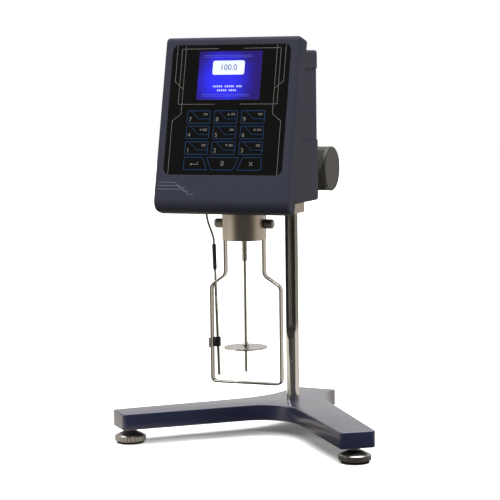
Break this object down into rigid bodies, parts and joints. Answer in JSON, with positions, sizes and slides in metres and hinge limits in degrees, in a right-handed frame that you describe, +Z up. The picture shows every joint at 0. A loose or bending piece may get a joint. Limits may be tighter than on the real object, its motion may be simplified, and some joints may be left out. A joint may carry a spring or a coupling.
{
  "type": "rotational viscometer",
  "caption": "Bench rotational viscometer: sloped-front measuring head on a rack stand, turning a disc spindle inside a strip guard, with a clipped temperature probe.",
  "frame": {"origin": "middle of the footprint, on the bench", "axes": "+X to the operator's right, -Y to the front where the screen faces, +Z up along the post"},
  "size_m": [0.3176, 0.2947, 0.4479],
  "materials": {
    "base_paint": "glossy dark navy enamel on cast iron",
    "chrome": "polished hard chrome",
    "rack_steel": "milled steel",
    "foot_steel": "turned stainless steel",
    "polished_steel": "polished stainless steel",
    "anodised": "satin warm grey anodised",
    "screw_steel": "dark oxide and plain steel screws",
    "thumb_steel": "dark knurled steel",
    "rubber": "black rubber",
    "knob_plastic": "ribbed charcoal plastic",
    "shell_plastic": "satin dark blue grey",
    "sheet_black": "black gloss printed sheet",
    "screen_glass": "backlit blue display window",
    "display": "display module",
    "board": "circuit board",
    "brass": "turned brass",
    "bronze": "bearing bronze",
    "spring_steel": "spring leaf",
    "chassis_metal": "machined plate",
    "motor_can": "plated can",
    "black_plastic": "moulded black plastic",
    "nylon": "white nylon",
    "lead_sheath": "pale thin lead",
    "vial": "bubble level glass"
  },
  "bodies": {
    "stand": {"base_plate": "base_paint", "post": "chrome", "rack_strip": "rack_steel", "post_bolt": "screw_steel"},
    "foot_left_body": {"foot_left": "foot_steel", "foot_pad_left": "rubber"},
    "foot_right_body": {"foot_right": "foot_steel", "foot_pad_right": "rubber"},
    "foot_back_body": {"foot_back": "foot_steel", "foot_pad_back": "rubber"},
    "lift_knob_body": {"lift_pinion": "rack_steel", "lift_knob": "knob_plastic", "knob_cap": "knob_plastic"},
    "guard_screw_left_body": {"guard_screw_left": "thumb_steel"},
    "guard_screw_right_body": {"guard_screw_right": "thumb_steel"},
    "drive_body": {"drive_gear": "brass", "torsion_spring": "spring_steel"},
    "spindle_body": {"pivot_shaft": "polished_steel", "signal_disc": "chassis_metal", "spindle_coupling": "polished_steel", "spindle": "polished_steel"},
    "motor_rotor": {"motor_pinion": "brass"},
    "rocker_body": {"switch_rocker": "black_plastic"},
    "head": {"clamp_block": "anodised", "pinion_bushes": "bronze", "drag_screw": "screw_steel", "drag_shoe": "nylon", "arm_rod": "chrome", "arm_screws": "screw_steel", "arm_clamp_screw": "screw_steel", "bottom_housing": "shell_plastic", "middle_wrap": "shell_plastic", "top_cap": "shell_plastic", "front_cover": "shell_plastic", "panel_sheet": "sheet_black", "screen_window": "screen_glass", "display_module": "display", "keypad_board": "board", "main_board": "board", "level_bezel": "anodised", "level_vial": "vial", "chassis": "chassis_metal", "housing_screws": "screw_steel", "plate_pillars": "brass", "motor_plate": "chassis_metal", "motor": "motor_can", "drive_bearing": "screw_steel", "upper_bearing": "bronze", "optical_sensor": "black_plastic", "jewel_bearing": "bronze", "guard_mount": "anodised", "guard": "polished_steel", "probe_rod": "polished_steel", "probe_sleeve": "rubber", "probe_socket": "black_plastic", "probe_lead": "lead_sheath", "probe_clip": "black_plastic", "mains_inlet": "black_plastic", "power_switch": "black_plastic", "data_port": "chassis_metal"}
  },
  "joints": [
    {"name": "head_lift", "type": "slide", "parent": "stand", "child": "head", "axis": [0, 0, 1], "range_m": [-0.07, 0.065]},
    {"name": "lift_knob_turn", "type": "hinge", "parent": "head", "child": "lift_knob_body", "pos_m": [0.0117, 0.0492, 0.302], "axis": [1, 0, 0], "range_deg": [-560, 600]},
    {"name": "drive_spin", "type": "hinge", "parent": "head", "child": "drive_body", "pos_m": [0.0117, -0.0801, 0.292], "axis": [0, 0, 1], "continuous": true},
    {"name": "motor_spin", "type": "hinge", "parent": "head", "child": "motor_rotor", "pos_m": [0.0417, -0.0801, 0.292], "axis": [0, 0, 1], "continuous": true},
    {"name": "spindle_deflect", "type": "hinge", "parent": "drive_body", "child": "spindle_body", "pos_m": [0.0117, -0.0801, 0.25], "axis": [0, 0, 1], "range_deg": [-10, 95], "stiffness_Nm_per_rad": 0.00048},
    {"name": "foot_left_turn", "type": "hinge", "parent": "stand", "child": "foot_left_body", "pos_m": [-0.13669, -0.06195, 0.01], "axis": [0, 0, 1], "range_deg": [-1080, 1080]},
    {"name": "foot_right_turn", "type": "hinge", "parent": "stand", "child": "foot_right_body", "pos_m": [0.13634, -0.08583, 0.01], "axis": [0, 0, 1], "range_deg": [-1080, 1080]},
    {"name": "foot_back_turn", "type": "hinge", "parent": "stand", "child": "foot_back_body", "pos_m": [0.01766, 0.12994, 0.01], "axis": [0, 0, 1], "range_deg": [-1080, 1080]},
    {"name": "guard_screw_left_turn", "type": "hinge", "parent": "head", "child": "guard_screw_left_body", "pos_m": [-0.0163, -0.0801, 0.25], "axis": [-1, 0, 0], "range_deg": [0, 1080]},
    {"name": "guard_screw_right_turn", "type": "hinge", "parent": "head", "child": "guard_screw_right_body", "pos_m": [0.0397, -0.0801, 0.25], "axis": [1, 0, 0], "range_deg": [0, 1080]},
    {"name": "power_switch_rock", "type": "hinge", "parent": "head", "child": "rocker_body", "pos_m": [-0.0333, -0.0372, 0.325], "axis": [1, 0, 0], "range_deg": [-18, 0]}
  ],
  "couplings": [
    {"joint": "lift_knob_turn", "follows": "head_lift", "rad_per_m": -148.15},
    {"joint": "motor_spin", "follows": "drive_spin", "ratio": -4}
  ]
}
